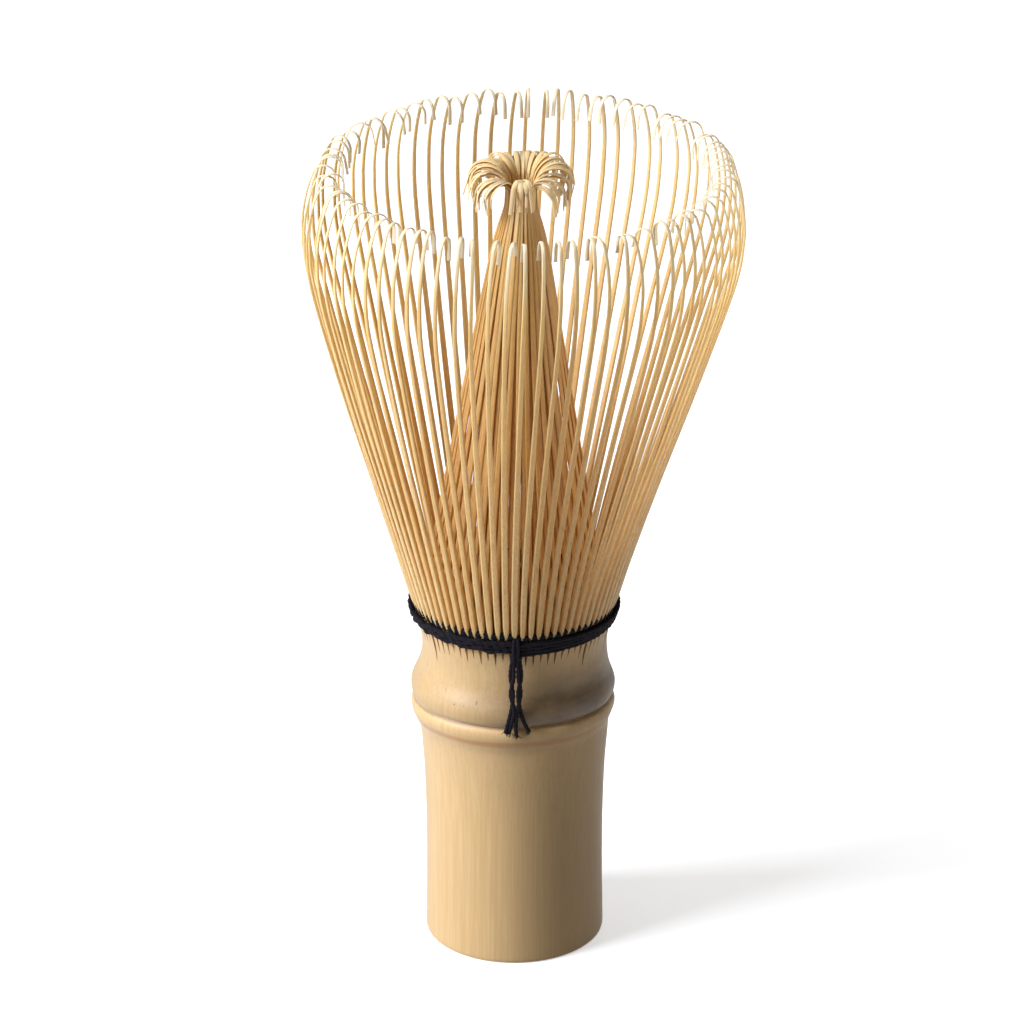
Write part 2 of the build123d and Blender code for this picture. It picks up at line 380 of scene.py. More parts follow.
def tine_material(name, colours, tip_from):
    """Shaved bamboo strip: fibres along it, each tine in its own tone, paler towards the tip."""
    n = Nodes(name)
    pale, middle, deep, stem, tip = (colour(*values) for values in colours)
    tone = n.node("ShaderNodeAttribute", {"attribute_name": "tone"}).outputs["Fac"]
    along = n.node("ShaderNodeAttribute", {"attribute_name": "along"}).outputs["Fac"]
    fibre = n.noise(6.0, 6.0, 0.10, 3.0, 0.55)
    patch = n.noise(0.8, 0.8, 0.12, 2.0, 0.5)
    tint = n.mix(tone, pale, middle)
    tint = n.mix(n.ramp(fibre, 0.48, 0.74, 0.0, 0.45), tint, deep)
    tint = n.mix(n.ramp(patch, 0.45, 0.75, 0.0, 0.25), tint, deep)
    tint = n.mix(n.ramp(along, 0.25, 0.6, 0.0, 0.5), tint, stem)
    # Partly painted light: the tip's paleness also stands for light shining through the thin end.
    tint = n.mix(n.ramp(along, tip_from, TIP_FULL, 0.0, 0.8), tint, tip)
    n.put(n.shader.inputs["Base Color"], tint)
    n.put(n.shader.inputs["Roughness"], n.ramp(fibre, 0.3, 0.75, 0.44, 0.62))
    n.put(n.shader.inputs["Specular IOR Level"], 0.5)
    n.put(n.shader.inputs["Subsurface Weight"], 0.6)
    n.put(n.shader.inputs["Subsurface Radius"], (1.0, 0.88, 0.68))
    n.put(n.shader.inputs["Subsurface Scale"], GLOW_DEPTH * MM)
    n.bump(fibre, 0.03, 0.5)
    return n.material


YARN_BLACK = (6, 4, 8)
YARN_WORN = (36, 28, 39)


def thread_material():
    """Black twisted cotton: matt, with paler worn fibres and a fine fuzz."""
    n = Nodes("black_thread")
    fuzz = n.noise(5.0, 5.0, 5.0, 4.0, 0.7)
    tint = n.mix(n.ramp(fuzz, 0.40, 0.80), colour(*YARN_BLACK), colour(*YARN_WORN))
    n.put(n.shader.inputs["Base Color"], tint)
    n.put(n.shader.inputs["Roughness"], n.ramp(fuzz, 0.3, 0.7, 0.70, 0.88))
    n.put(n.shader.inputs["Specular IOR Level"], 0.15)
    n.bump(fuzz, 0.08, 0.8)
    return n.material


# ------------------------------------------------------------------ handle
BORE_R = 7.75
BORE_DEPTH = 31.0
DIAPHRAGM_TOP = 35.0
UPPER_HOLLOW_R = 11.3
KERF_FOOT = 45.3
ROOT_RING_TOP = 48.2
CULM_FOOT = 0.02
# Outside of the culm as (radius, height): grip, node with its two ridges, waist, roots.
CULM_OUTLINE = [(11.62, CULM_FOOT), (11.90, 0.12), (11.99, 0.45), (11.95, 3.5), (11.86, 9.0), (11.88, 17.0),
                (12.08, 24.0), (12.34, 28.0), (12.58, 30.6), (12.80, 31.6), (13.22, 32.5), (13.52, 33.3),
                (13.60, 33.9), (13.50, 34.5), (13.20, 34.9), (13.12, 35.1), (13.34, 35.35), (13.56, 35.9),
                (13.60, 36.9), (13.32, 37.9), (12.92, 38.9), (12.55, 40.2), (12.33, 41.8), (12.31, 43.2),
                (12.45, 44.4), (12.68, 45.5), (13.00, 46.8), (13.28, 48.0)]
OUTLINE_STEP = 0.3
EDGE_ROUND = 0.9
BORE_EDGE = 0.8
DIAPHRAGM_MIDDLE_R = 5.0
DIAPHRAGM_DISH = 0.25
DIAPHRAGM_CENTRE_DISH = 0.3
# Points halfway along the walls of the hollow and the bore, and the small bevels at their mouths.
HOLLOW_MIDWAY = 42.0
BORE_MIDWAY = 16.0
HOLLOW_MOUTH_BEVEL = 0.1
BORE_MOUTH_BEVEL = 0.2
BORE_MOUTH_TOP = 0.25
# Columns of the lathe within one pitch, as (place, share of the kerf's half width): the kerf's
# floor and its edge, the lip, three on the tine's face, and the next kerf's lip and floor edge.
KERF_PARTS = [(0.0, 0.0), (0.0, 0.55), (0.0, 1.0), (0.36, 0.0), (0.5, 0.0), (0.64, 0.0),
              (1.0, -1.0), (1.0, -0.55)]
KERF_FLOOR_COLUMNS = (0, 1, 7)
LAST_FACE_COLUMN = 5
KERF_DEPTH = 1.0
KERF_TAPER = 1.4
KERF_OPENING = 2.6
KERF_HALF_AT_FOOT = 0.03
KERF_HALF_AT_TOP = 0.25
KERF_FOOT_VARIES = (-0.7, 0.5)
LONG_KERF_SHARE = 0.08
LONG_KERF_EXTRA = 2.0
NODE_SHIFT = 0.25
# Waves round the culm as (size, number round it, phase): the node's height, its knobs, and
# the culm's own roundness.
NODE_WANDER = [(0.08, 2, 2.1), (0.05, 5, 0.4)]
NODE_KNOBS = [(0.05, 7, 1.3), (0.04, 11, 0.2)]
OUT_OF_ROUND = [(0.05, 2, 1.0), (0.03, 3, 0.3)]
# Height ramps: where the node's waves begin and end, and where the roundness gives way to the roots.
NODE_FROM = (29.5, 33.0)
NODE_TO = (37.5, 42.0)
ROOTS_FROM = (44.0, 46.5)


def waves(angles, terms):
    """Sum of waves round the culm."""
    return sum(size * np.sin(number * angles + phase) for size, number, phase in terms)


def make_handle(material):
    """The culm as one turned skin: node, bore, upper hollow, and the kerfs between the roots."""
    rng = random.Random(CULM_SEED)
    outline = smooth_path(CULM_OUTLINE, OUTLINE_STEP)
    inner = [(UPPER_HOLLOW_R + EDGE_ROUND, ROOT_RING_TOP),
             (UPPER_HOLLOW_R, ROOT_RING_TOP - HOLLOW_MOUTH_BEVEL),
             (UPPER_HOLLOW_R, HOLLOW_MIDWAY), (UPPER_HOLLOW_R, DIAPHRAGM_TOP + BORE_EDGE),
             (UPPER_HOLLOW_R - EDGE_ROUND, DIAPHRAGM_TOP),
             (DIAPHRAGM_MIDDLE_R, DIAPHRAGM_TOP - DIAPHRAGM_DISH)]
    under = [(DIAPHRAGM_MIDDLE_R, BORE_DEPTH + DIAPHRAGM_DISH), (BORE_R - BORE_EDGE, BORE_DEPTH),
             (BORE_R, BORE_DEPTH - BORE_EDGE), (BORE_R, BORE_MIDWAY), (BORE_R, BORE_MOUTH_TOP),
             (BORE_R + BORE_MOUTH_BEVEL, CULM_FOOT)]
    profile = np.vstack([under, outline, inner])
    skin = np.zeros(len(profile), bool)
    skin[len(under):len(under) + len(outline)] = True
    columns = len(KERF_PARTS)
    floor = np.array([c in KERF_FLOOR_COLUMNS for _ in range(TINES) for c in range(columns)])
    feet = []
    for _ in range(TINES):
        foot = KERF_FOOT + rng.uniform(*KERF_FOOT_VARIES)
        feet.append(foot - LONG_KERF_EXTRA if rng.random() < LONG_KERF_SHARE else foot)
    # The last two columns of a pitch border the next kerf, so they take that kerf's foot.
    foot = np.array([feet[(k + (c > LAST_FACE_COLUMN)) % TINES]
                     for k in range(TINES) for c in range(columns)])
    radius = np.repeat(profile[:, :1], TINES * columns, axis=1)
    height = np.repeat(profile[:, 1:], TINES * columns, axis=1)
    opened = np.clip((height - foot[None, :]) / KERF_OPENING, 0, 1)
    half = KERF_HALF_AT_FOOT + (KERF_HALF_AT_TOP - KERF_HALF_AT_FOOT) * opened
    fixed = np.array([k + 0.5 + part[0] for k in range(TINES) for part in KERF_PARTS])
    share = np.array([part[1] for _ in range(TINES) for part in KERF_PARTS])
    angles = (fixed[None, :] + share[None, :] * half) * PITCH
    # The node's ridges stand higher on the knot side, wander, and sit a little off the middle.
    wander = -NODE_TILT * np.sin(angles) + waves(angles, NODE_WANDER)
    near_node = smooth_step(height, *NODE_FROM) * (1 - smooth_step(height, *NODE_TO))
    skin = skin[:, None]
    height += np.where(skin, near_node * wander, 0)
    knobbly = waves(angles, NODE_KNOBS) - NODE_SHIFT * np.cos(angles)
    ease = 1 - smooth_step(height, *ROOTS_FROM)
    radius += np.where(skin, (waves(angles, OUT_OF_ROUND) + near_node * knobbly) * ease, 0)
    cut = np.clip((height - foot[None, :]) / KERF_TAPER, 0, 1) * KERF_DEPTH
    radius -= np.where(skin & floor[None, :], cut, 0)
    points = np.stack([radius * np.cos(angles), radius * np.sin(angles), height], axis=-1)
    n, m = height.shape
    grid = np.arange(n * m).reshape(n, m)
    after = np.roll(grid, -1, axis=1)
    faces = np.stack([grid[:-1], after[:-1], after[1:], grid[1:]], axis=-1).reshape(-1, 4).tolist()
    # One point on the axis closes the diaphragm from below, and one from above.
    centres = [(0, 0, BORE_DEPTH + DIAPHRAGM_CENTRE_DISH), (0, 0, DIAPHRAGM_TOP - DIAPHRAGM_CENTRE_DISH)]
    verts = np.vstack([points.reshape(-1, 3), centres])
    faces += [[n * m, int(b), int(a)] for a, b in zip(grid[0], after[0])]
    faces += [[n * m + 1, int(a), int(b)] for a, b in zip(grid[-1], after[-1])]
    mesh = bpy.data.meshes.new("handle_culm")
    mesh.from_pydata((verts * MM).tolist(), [], faces)
    mesh.shade_smooth()
    mesh.set_sharp_from_angle(angle=math.radians(CULM_SHARP_DEG))
    mesh.materials.append(material)
    piece = bpy.data.objects.new("handle_culm", mesh)
    scene.collection.objects.link(piece)
    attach(piece, ROOT_BODY)
    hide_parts("handle")


# ------------------------------------------------------------------ outer tines
# Middle line of a blade as (radius, height), then its widths at heights and along its hook.
OUTER_BLADE = [(12.55, 46.6), (12.82, 47.8), (13.10, 48.9), (13.62, 50.1), (14.55, 53.2), (15.50, 56.3),
               (17.40, 62.3), (19.35, 68.4), (23.22, 80.6), (26.83, 92.9), (28.05, 98.2), (28.37, 102.4)]
BLADE_WIDTH_AT = [46.6, 49.3, 49.9, 50.6, 51.8, 60.0, 75.0, 90.0, 103.0]
BLADE_WIDTHS = [0.50, 0.46, 0.62, 0.78, 0.84, 0.84, 0.75, 0.61, 0.53]
SHOULDER_R = 20.0
SHOULDER_ANGLE = math.radians(21)
HOOK_WIDTH_AT = [0, 0.4, 0.75, 1]
HOOK_WIDTHS = [0.53, 0.48, 0.45, 0.54]
OUTER_THICK_AT = [0, 0.06, 0.3, 0.7, 0.88, 1.0]
OUTER_THICKS = [0.62, 0.66, 0.48, 0.36, 0.24, 0.13]
BLADE_STEP = 1.5
# Each tine's own height and place grow from RIM_FOOT up to RIM_TOP, and its twist as TWISTED says.
RIM_FOOT = 62.0
RIM_TOP = 108.0
TWISTED = (86.0, 103.0)
RIM_DROP = 0.4
BACK_IS_HIGHER = 0.55
# How tines vary: standard deviations of place and twist, then ranges of width and hook.
RIM_VARIES = 0.16
SWAY_VARIES = 0.20
HEIGHT_VARIES = 0.16
TWIST_VARIES = 0.15
WIDTH_VARIES = (0.93, 1.07)
HOOK_RADII = (1.4, 1.78)
HOOK_REACH_DEG = (162, 186)
HOOK_LEGS = (1.2, 2.1)
# The twist also swings round the ring, as (size, number round it, phase).
TWIST_WAVE = (0.14, 2, 0.6)
SHOULDER_POINTS = 7
BEND_POINTS = 14


def hook_profile(radius, reach, leg):
    """Shoulder, bend and hanging leg of a hook as (inward, upward) steps from the blade's end."""
    shoulder = [(SHOULDER_R * (1 - math.cos(a)), SHOULDER_R * math.sin(a))
                for a in np.linspace(0, SHOULDER_ANGLE, SHOULDER_POINTS)[1:]]
    x, z = shoulder[-1]
    turn = np.linspace(SHOULDER_ANGLE, reach, BEND_POINTS)[1:]
    centre = (x + radius * math.cos(SHOULDER_ANGLE), z - radius * math.sin(SHOULDER_ANGLE))
    bend = [(centre[0] - radius * math.cos(a), centre[1] + radius * math.sin(a)) for a in turn]
    last = bend[-1]
    fall = [(last[0] + math.sin(reach) * leg * s, last[1] + math.cos(reach) * leg * s)
            for s in (0.33, 0.66, 1.0)]
    return np.array(shoulder + bend + fall)


def outer_tine(parts, angle, rng):
    """One outer tine from its root under the thread to the cut end of its hook."""
    rim = rng.gauss(0, RIM_VARIES)
    sway = rng.gauss(0, SWAY_VARIES)
    taller = rng.gauss(0, HEIGHT_VARIES) - RIM_DROP + BACK_IS_HIGHER * (1 + math.sin(angle))
    size, number_round, phase = TWIST_WAVE
    twist = size * math.sin(number_round * angle + phase) + rng.gauss(0, TWIST_VARIES)
    wide = rng.uniform(*WIDTH_VARIES)
    blade = smooth_path(OUTER_BLADE, BLADE_STEP)
    own = smooth_step(blade[:, 1], RIM_FOOT, RIM_TOP)
    radius = blade[:, 0] + rim * own
    z = blade[:, 1] + taller * own
    radial = np.array((math.cos(angle), math.sin(angle), 0))
    tangent = np.array((-math.sin(angle), math.cos(angle), 0))
    up = np.array((0, 0, 1.0))
    stem = radius[:, None] * radial + (sway * own)[:, None] * tangent + z[:, None] * up
    hook = hook_profile(rng.uniform(*HOOK_RADII), math.radians(rng.uniform(*HOOK_REACH_DEG)),
                        rng.uniform(*HOOK_LEGS))
    inward = -math.cos(twist) * radial + math.sin(twist) * tangent
    crown = stem[-1] + hook[:, :1] * inward + hook[:, 1:] * up
    path = np.vstack([stem, crown])
    turned = np.concatenate([twist * smooth_step(z, *TWISTED), np.full(len(crown), twist)])
    side = np.cos(turned)[:, None] * tangent + np.sin(turned)[:, None] * radial
    run = distances(path)
    share = run / run[-1]
    width = wide * np.concatenate([np.interp(blade[:, 1], BLADE_WIDTH_AT, BLADE_WIDTHS),
                                   np.interp(np.linspace(0, 1, len(crown)), HOOK_WIDTH_AT, HOOK_WIDTHS)])
    thick = np.interp(share, OUTER_THICK_AT, OUTER_THICKS)
    parts.add_rings(leaned(strip_rings(path, side, width, thick)), rng.random(), share)


def make_outer_tines(material):
    """Sixteen groups of outer tines, each made as one object in place of its CAD part."""
    rng = random.Random(OUTER_SEED)
    for sector in range(SECTORS):
        parts = MeshParts()
        for place in range(TINES_PER_SECTOR):
            slot = sector * TINES_PER_SECTOR + place - (TINES_PER_SECTOR - 1) // 2
            outer_tine(parts, slot * PITCH, rng)
        name = f"{sector + 1:02d}"
        piece = parts.make(f"outer_strips_{name}", material, STRIP_SHARP_DEG)
        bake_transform(piece)
        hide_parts(f"outer_tines_{name}")


# ------------------------------------------------------------------ inner tines
INNER_ROOT_R = 12.05
# Middle line of a stem up to the bundle as (radius, height).
INNER_STEM = [(INNER_ROOT_R, 46.8), (12.08, 49.6), (11.2, 54.8), (8.78, 69.2), (4.46, 94.4), (3.15, 101.0)]
INNER_STEP = 1.6
NECK_R = 2.02
NECK_NARROWS = 0.12
NECK_HEIGHT = 105.0
CURL_FOOT = 107.4
CURL_R = 2.66
# Neighbouring stems lie in layers, one behind the other, which part within SPREAD_OVER of the root.
LAYERS = (0, 1, 0, 2)
LAYER_STEP = 0.17
SPREAD_OVER = 3
# Shares of a layer's depth that are left at the neck and in the size of the curl.
LAYER_AT_NECK = 0.8
LAYER_AT_CURL = 0.3
INNER_LEAN = 0.6
INNER_WIDTH_AT = [0, 0.3, 0.7, 0.84, 0.92, 1.0]
INNER_WIDTHS = [0.48, 0.68, 0.64, 0.60, 0.62, 0.46]
INNER_THICK_AT = [0, 0.3, 0.8, 1.0]
INNER_THICKS = [0.42, 0.34, 0.2, 0.12]
# Half angles at the front: strips within the first fall forwards, short, and the rest from the second on.
FRONT_LOCK = 0.34
SIDE_LOCK = 0.98
FRONT_SPREAD = 1.4
FRONT_RISE = 1.3
FRONT_CURL_SHARE = 0.52
# Height ramps: swirl round the bundle, start of the parting, and tilt of the strips on each other.
SWIRLED = (56.0, 104.0)
PARTED = (103.0, 107.5)
PARTED_AT_NECK = 0.25
TILTED = (78.0, 103.0)
BOW_FOOT = 52.0
BOW_SPAN = 52.0
# How strips vary: standard deviations, then ranges.
SWIRL_VARIES = 0.045
BOW_VARIES = 0.12
STRAY_VARIES = 0.09
SLAT_VARIES = 0.12
SLAT_TILT = (0.2, 0.6)
CURL_FOOT_VARIES = (-0.5, 0.4)
CURL_R_VARIES = (-0.14, 0.14)
CURL_REACH_DEG = (160, 198)
CURL_LEGS = (0.7, 2.0)
FRONT_EXTRA_LEGS = (0.4, 2.4)
SIDE_EXTRA_LEG = 1.7
STRIP_WIDTH_VARIES = (0.9, 1.1)
# The curls fall in three locks, as (size, number round the bundle, phase), and are tighter in front.
LOCKS = (0.26, 3, 1.2)
FRONT_IS_TIGHTER = 0.95
FRONT_IS_LOWER = 0.5
FRONT_IS_SHORTER = 0.3
CURL_POINTS = 15


def lock_bearing(from_front):
    """Where a curl falls, from the front: a few short strips stay there, the rest part to the sides."""
    away = abs(from_front)
    if away < FRONT_LOCK:
        return FRONT_SPREAD * from_front
    spread = SIDE_LOCK + (away - FRONT_LOCK) * (math.pi - SIDE_LOCK) / (math.pi - FRONT_LOCK)
    return math.copysign(spread, from_front)


def inner_tine(parts, number, angle, rng):
    """One inner tine: straight into the neck of the bundle, then curled over outwards."""
    depth = LAYERS[int(number) % len(LAYERS)] * LAYER_STEP
    swirl = rng.gauss(0, SWIRL_VARIES)
    bow = rng.gauss(0, BOW_VARIES)
    from_front = (angle - FRONT + math.pi) % (2 * math.pi) - math.pi
    falls = lock_bearing(from_front)
    gathered = falls - from_front
    frontness = (1 + math.cos(falls)) / 2
    in_front = abs(from_front) < FRONT_LOCK
    neck = NECK_R - depth * LAYER_AT_NECK
    foot = CURL_FOOT + rng.uniform(*CURL_FOOT_VARIES) + FRONT_IS_LOWER * (1 - 2 * frontness)
    if in_front:
        foot += FRONT_RISE
    stem_points = [(r - depth * min(1, (INNER_ROOT_R - r) / SPREAD_OVER), z) for r, z in INNER_STEM]
    stem_points += [(neck, NECK_HEIGHT), (neck - NECK_NARROWS, foot)]
    stem = smooth_path(stem_points, INNER_STEP)
    size, number_round, phase = LOCKS
    lock = size * math.sin(number_round * falls + phase)
    curl_r = CURL_R + lock + rng.uniform(*CURL_R_VARIES) - FRONT_IS_TIGHTER * frontness
    curl_r += depth * LAYER_AT_CURL
    if in_front:
        curl_r *= FRONT_CURL_SHARE
    reach = math.radians(rng.uniform(*CURL_REACH_DEG))
    turn = np.linspace(0, reach, CURL_POINTS)[1:]
    curl = np.stack([neck - NECK_NARROWS + curl_r * (1 - np.cos(turn)),
                     foot + curl_r * np.sin(turn)], axis=1)
    # The strips that fall to the sides are the longest.
    leg = rng.uniform(*CURL_LEGS) * (1 - FRONT_IS_SHORTER * frontness)
    leg += SIDE_EXTRA_LEG * rng.random() * abs(math.sin(falls))
    if in_front:
        leg += rng.uniform(*FRONT_EXTRA_LEGS)
    heading = np.array((math.sin(reach), math.cos(reach)))
    curl = np.vstack([curl, [curl[-1] + heading * leg * s for s in (0.5, 1.0)]])
    line = np.vstack([stem, curl])
    past = np.concatenate([np.zeros(len(stem)), np.linspace(0, 1, len(curl))])
    parted = np.concatenate([PARTED_AT_NECK * smooth_step(stem[:, 1], *PARTED),
                             np.linspace(PARTED_AT_NECK, 1, len(curl))])
    swirled = swirl * smooth_step(line[:, 1], *SWIRLED)
    bearing = angle + swirled + gathered * parted + rng.gauss(0, STRAY_VARIES) * past
    radial = np.stack([np.cos(bearing), np.sin(bearing), np.zeros_like(bearing)], axis=1)
    tangent = np.stack([-np.sin(bearing), np.cos(bearing), np.zeros_like(bearing)], axis=1)
    middle = np.sin(np.clip((line[:, 1] - BOW_FOOT) / BOW_SPAN, 0, 1) * math.pi)
    path = line[:, :1] * radial + (bow * middle)[:, None] * tangent
    path[:, 2] = line[:, 1]
    # Blades lie over each other like the slats of a shutter where they crowd at the neck.
    tilt = rng.uniform(*SLAT_TILT) * smooth_step(line[:, 1], *TILTED) * (1 - past)
    slat = tilt + rng.gauss(0, SLAT_VARIES) * past
    side = np.cos(slat)[:, None] * tangent + np.sin(slat)[:, None] * radial
    run = distances(path)
    share = run / run[-1]
    width = rng.uniform(*STRIP_WIDTH_VARIES) * np.interp(share, INNER_WIDTH_AT, INNER_WIDTHS)
    thick = np.interp(share, INNER_THICK_AT, INNER_THICKS)
    parts.add_rings(leaned(strip_rings(path, side, width, thick), INNER_LEAN), rng.random(), share)


def make_inner_tines(material):
    """Sixteen groups of inner tines, each made as one object in place of its CAD part."""
    rng = random.Random(INNER_SEED)
    for sector in range(SECTORS):
        parts = MeshParts()
        for place in range(TINES_PER_SECTOR):
            slot = sector * TINES_PER_SECTOR + place - (TINES_PER_SECTOR - 1) // 2 + 0.5
            inner_tine(parts, slot, slot * PITCH, rng)
        name = f"{sector + 1:02d}"
        piece = parts.make(f"inner_strips_{name}", material, STRIP_SHARP_DEG)
        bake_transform(piece)
        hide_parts(f"inner_tines_{name}")


# ------------------------------------------------------------------ thread
# Thicknesses are a thread's radius, and its lay is the length in which its plies go round once.
THREAD_R = 0.33
THREAD_LAY = 2.4
THREAD_PLIES = 3
THREAD_TONE = 0.5
BINDING_TURNS = 4
BINDING_FIRST_Z = 47.32
BINDING_RISE = 0.54
BINDING_R = 13.40
BINDING_FLARE = 0.12
BINDING_POINTS_PER_TURN = 300
BINDING_SAG = 0.22
BINDING_SAG_ANGLE = 0.42
# The winding climbs over this many turns, from here on, and its turns lie closer at the sides.
BINDING_CLIMBS_FROM = 0.12
BINDING_CLIMBS_OVER = 3.25
BINDING_CLOSER = 0.32
# Lumps as (size, number in a turn, shift from turn to turn).
BINDING_LUMPS = [(0.10, 23, 2.1), (0.07, 41, 4.3)]
# Share of the lumps on the right. The left has 1 more, and the change lies between two places
# across the whisk, where 1 is leftmost.
LUMPS_ALL_ROUND = 0.25
LUMPY_LEFT = (-0.15, 0.3)
# The lumps also push the thread outwards by this share of their height.
LUMPS_OUTWARDS = 0.5
# The thread ripples in and out by this much from tine to tine.
BINDING_RIPPLE = 0.06
WEAVE_TURNS = 3
WEAVE_POINTS_PER_TURN = 480
WEAVE_R = 0.36
WEAVE_FIRST_Z = 48.80
WEAVE_RISE = 0.38
WEAVE_FIRST_R = 13.12
WEAVE_FLARE = 0.13
WEAVE_SWING = 0.10


def yarn_piece(name, yarns, material, node):
    """A piece of one or more twisted threads, given as rings, that rides on the handle."""
    parts = MeshParts()
    for rings in yarns:
        parts.add_rings(rings, THREAD_TONE, np.linspace(0, 1, len(rings)))
    piece = parts.make(name, material, YARN_SHARP_DEG)
    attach(piece, ROOT_BODY)
    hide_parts(node)


def make_binding(material):
    """The winding round the outside of the roots, pulled down a little where the knot ties it."""
    turn = np.linspace(0, BINDING_TURNS, BINDING_TURNS * BINDING_POINTS_PER_TURN)
    angle = FRONT + turn * 2 * math.pi
    from_front = np.abs((angle - FRONT + math.pi) % (2 * math.pi) - math.pi)
    sag = -BINDING_SAG * np.exp(-(from_front / BINDING_SAG_ANGLE) ** 2)
    # The left half is lumpy, and the right half lies smooth.
    left = smooth_step(-np.cos(angle), *LUMPY_LEFT)
    lumps = sum(size * np.sin(angle * number + turn * shift) for size, number, shift in BINDING_LUMPS)
    lumps = lumps * (LUMPS_ALL_ROUND + left)
    rise = BINDING_RISE * (1 - BINDING_CLOSER * np.sin(from_front) ** 2)
    z = BINDING_FIRST_Z + rise * np.clip(turn - BINDING_CLIMBS_FROM, 0, BINDING_CLIMBS_OVER) + sag + lumps
    ripple = BINDING_RIPPLE * np.sin(angle * TINES + turn)
    r = BINDING_R + BINDING_FLARE * turn + ripple + LUMPS_OUTWARDS * np.abs(lumps)
    route = np.stack([r * np.cos(angle), r * np.sin(angle), z], axis=1)
    yarn = yarn_rings(route, THREAD_R, THREAD_PLIES, THREAD_LAY, sides=12)
    yarn_piece("thread_winding", [yarn], material, "binding_thread")


def make_weave(material):
    """Three turns behind the outer tines that push out a little in every gap."""
    turn = np.linspace(0, WEAVE_TURNS, WEAVE_TURNS * WEAVE_POINTS_PER_TURN)
    angle = FRONT + turn * 2 * math.pi
    z = WEAVE_FIRST_Z + WEAVE_RISE * turn + WEAVE_SWING * np.sin(angle * TINES / 2)
    r = WEAVE_FIRST_R + WEAVE_FLARE * turn + WEAVE_SWING * np.sin(angle * TINES / 2) ** 2
    route = np.stack([r * np.cos(angle), r * np.sin(angle), z], axis=1)
    yarn = yarn_rings(route, WEAVE_R, THREAD_PLIES, THREAD_LAY, sides=8)
    yarn_piece("thread_weave", [yarn], material, "weaving_thread")


KNOT_SIDE = 0.2
KNOT_R = 14.15
KNOT_Z = 46.95
KNOT_WIDTH = 0.22
KNOT_HEIGHT = 0.20
KNOT_DEPTH = 0.16
KNOT_POINTS = 150
KNOT_LAY = 1.9
STRAND_R = 0.29
STRAND_STEP = 0.12
# The two cinching strands: where they start sideways of the knot, and their route up over the
# winding as (share of that, out from the axis, height).
CINCH_SIDES = (-0.28, 0.28)
CINCH_ROUTE = [(1, 13.9, 46.4), (1, 14.28, 47.0), (1, 14.30, 48.0), (0.9, 14.26, 48.8), (0.8, 14.0, 49.3),
               (0.6, 13.4, 49.5)]


def front_route(points):
    """A smooth route from points given as (sideways, out from the axis, height) at the front."""
    path = smooth_path(points, STRAND_STEP)
    return np.stack([path[:, 0], -path[:, 1], path[:, 2]], axis=1)


def make_knot(material):
    """A tight overhand knot under the winding and two strands that cinch it to the weave."""
    t = np.linspace(0, 2 * math.pi, KNOT_POINTS)
    routes = [np.stack([KNOT_SIDE + KNOT_WIDTH * (np.sin(t) + 2 * np.sin(2 * t)),
                        -KNOT_R - KNOT_DEPTH * np.sin(3 * t),
                        KNOT_Z + KNOT_HEIGHT * (np.cos(t) - 2 * np.cos(2 * t))], axis=1)]
    for side in CINCH_SIDES:
        routes.append(front_route([(KNOT_SIDE + side * share, out, z) for share, out, z in CINCH_ROUTE]))
    yarns = [yarn_rings(route, STRAND_R, THREAD_PLIES, KNOT_LAY, sides=10) for route in routes]
    yarn_piece("thread_knot_loops", yarns, material, "thread_knot")


# Routes of the four cut ends, as (sideways, out from the axis, height).
TAILS = [
    [(-0.22, 14.10, 46.9), (-0.42, 14.20, 45.6), (-0.52, 14.02, 44.0), (-0.18, 14.20, 41.6),
     (-0.42, 13.98, 39.2), (-0.85, 13.95, 37.2), (-1.18, 14.12, 35.9)],
    [(0.02, 14.14, 46.9), (-0.10, 14.32, 45.6), (-0.12, 14.34, 44.0), (-0.50, 14.06, 41.6),
     (-0.04, 14.30, 39.3), (-0.42, 14.10, 37.3), (-0.74, 14.02, 35.8)],
    [(0.36, 14.14, 46.9), (0.48, 14.32, 45.6), (0.52, 14.34, 44.0), (0.82, 14.08, 41.8),
     (0.42, 14.26, 39.4), (0.20, 14.08, 37.3), (0.24, 14.12, 35.5)],
    [(0.60, 14.10, 46.9), (0.80, 14.20, 45.6), (0.88, 14.04, 44.0), (0.48, 14.20, 41.8),
     (0.74, 14.00, 39.4), (1.28, 14.02, 37.4), (1.95, 14.12, 36.1)],
]
TAIL_LAY = 1.5
TAIL_PLIES = 2
FRAYED_FIBRES = 7
FIBRE_R = 0.045
FIBRE_LAY = 1.0
# How a fibre's start, end and middle vary sideways and outwards, how far its end stands forward,
# and how far it hangs down.
FIBRE_START_VARIES = (0.09, 0.06)
FIBRE_END_VARIES = (0.28, 0.08)
FIBRE_BEND_VARIES = (0.06, 0.04)
FIBRE_FORWARD = 0.08
FIBRE_DROPS = (0.25, 0.75)


def make_tails(material):
    """The four cut ends, each frayed into a few fibres."""
    rng = random.Random(FIBRE_SEED)
    for number, points in enumerate(TAILS, start=1):
        route = front_route(points)
        yarns = [yarn_rings(route, STRAND_R, TAIL_PLIES, TAIL_LAY, sides=8)]
        for _ in range(FRAYED_FIBRES):
            sideways, outwards = FIBRE_START_VARIES
            start = route[-3] + np.array([rng.gauss(0, sideways), rng.gauss(0, outwards), 0])
            sideways, outwards = FIBRE_END_VARIES
            end = start + np.array([rng.gauss(0, sideways), rng.gauss(-FIBRE_FORWARD, outwards),
                                    -rng.uniform(*FIBRE_DROPS)])
            sideways, outwards = FIBRE_BEND_VARIES
            middle = (start + end) / 2 + np.array([rng.gauss(0, sideways), rng.gauss(0, outwards), 0])
            fibre = smooth_path([start, middle, end], STRAND_STEP)
            yarns.append(yarn_rings(fibre, FIBRE_R, TAIL_PLIES, FIBRE_LAY, sides=5))
        yarn_piece(f"thread_end_{number}", yarns, material, f"thread_tail_{number}")


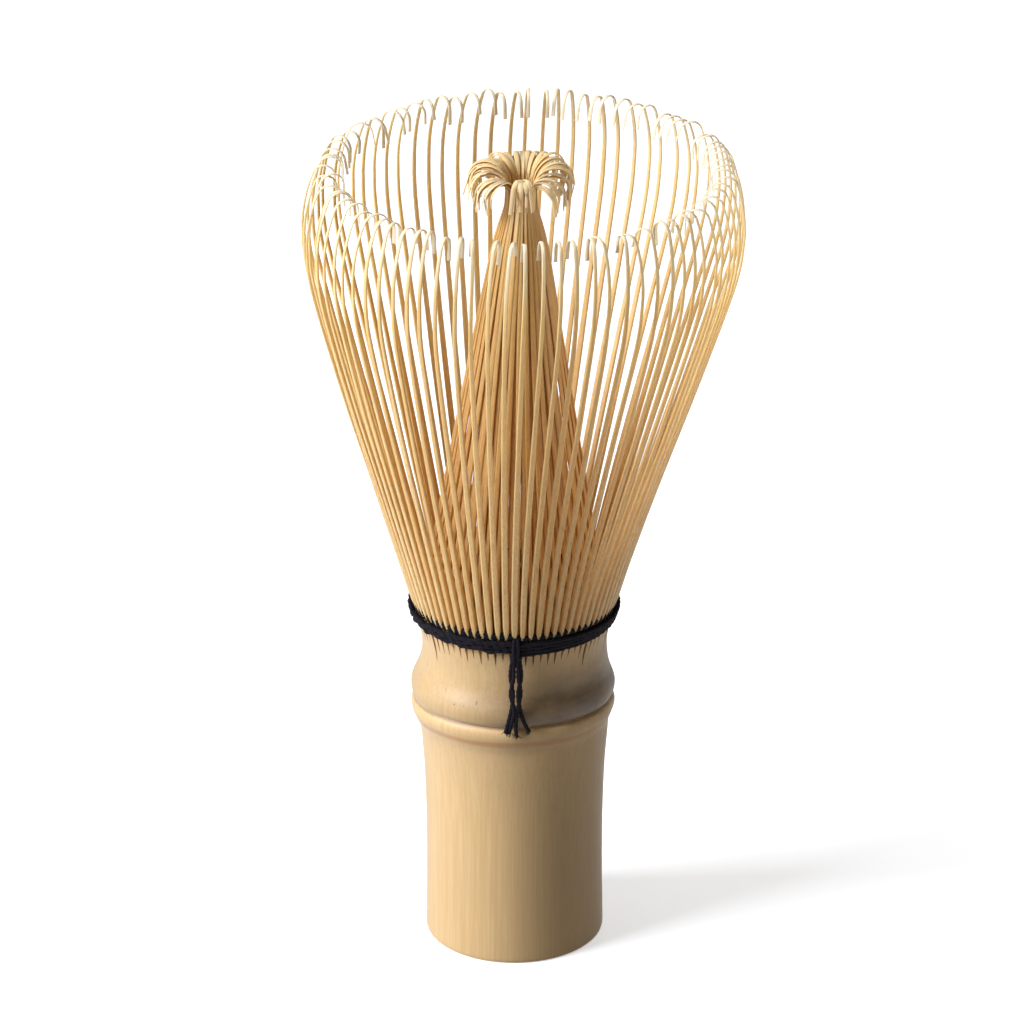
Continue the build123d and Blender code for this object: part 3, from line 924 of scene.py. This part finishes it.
# ------------------------------------------------------------------ stage
# Lamps as place, size, power, tint, height on the axis that they look at, and spread in degrees.
KEY_LIGHT = ((-590, -205, 440), 420, 9.7, (0.95, 1.0, 1.12), MIDDLE_Z, 180)
TOP_LIGHT = ((60, 120, 640), 320, 1.2, (1.0, 1.0, 1.0), MIDDLE_Z, 180)
LOW_FILL_LIGHT = ((420, -180, 30), 60, 0.0075, (1.0, 0.97, 0.9), 96.0, 15)
FLOOR_REACH = 3000.0
FLOOR_GREY = 0.86
FLOOR_ROUGHNESS = 0.9
FLOOR_GLOW = 0.5
SKY_TINT = (1.0, 0.95, 0.89, 1)
SKY_STRENGTH = 0.12


def area_light(name, place, size, power, tint, aim_z, spread_deg):
    """A soft square lamp that looks at the whisk's axis."""
    data = bpy.data.lights.new(name, "AREA")
    data.size = size * MM
    data.energy = power
    data.color = tint
    data.spread = math.radians(spread_deg)
    lamp = bpy.data.objects.new(name, data)
    lamp.location = Vector(place) * MM
    lamp.rotation_euler = (Vector((0, 0, aim_z)) - Vector(place)).to_track_quat("-Z", "Y").to_euler()
    scene.collection.objects.link(lamp)


def make_floor():
    """A pale floor that glows a little, so that it stays near white around the whisk's shadow."""
    reach = FLOOR_REACH * MM
    corners = [(-reach, -reach, 0), (reach, -reach, 0), (reach, reach, 0), (-reach, reach, 0)]
    mesh = bpy.data.meshes.new("floor")
    mesh.from_pydata(corners, [], [(0, 1, 2, 3)])
    n = Nodes("pale_floor")
    n.put(n.shader.inputs["Base Color"], (FLOOR_GREY, FLOOR_GREY, FLOOR_GREY, 1))
    n.put(n.shader.inputs["Roughness"], FLOOR_ROUGHNESS)
    n.put(n.shader.inputs["Emission Color"], (1, 1, 1, 1))
    n.put(n.shader.inputs["Emission Strength"], FLOOR_GLOW)
    mesh.materials.append(n.material)
    floor = bpy.data.objects.new("floor", mesh)
    scene.collection.objects.link(floor)
    # The floor throws no light back up, so the shaded side stays dark.
    floor.visible_diffuse = False


def make_lights():
    """A large soft key from the left and little else, so the right side falls into shade."""
    area_light("key", *KEY_LIGHT)
    area_light("top", *TOP_LIGHT)
    area_light("low fill", *LOW_FILL_LIGHT)
    world = bpy.data.worlds.new("studio")
    world.use_nodes = True
    sky = world.node_tree.nodes["Background"]
    sky.inputs["Color"].default_value = SKY_TINT
    sky.inputs["Strength"].default_value = SKY_STRENGTH
    scene.world = world
    scene.view_settings.view_transform = "Standard"


make_camera()
make_floor()
make_lights()
thread = thread_material()
make_handle(culm_material())
make_outer_tines(tine_material("outer_bamboo", OUTER_COLOURS, OUTER_TIP_FROM))
make_inner_tines(tine_material("inner_bamboo", INNER_COLOURS, INNER_TIP_FROM))
make_binding(thread)
make_weave(thread)
make_knot(thread)
make_tails(thread)
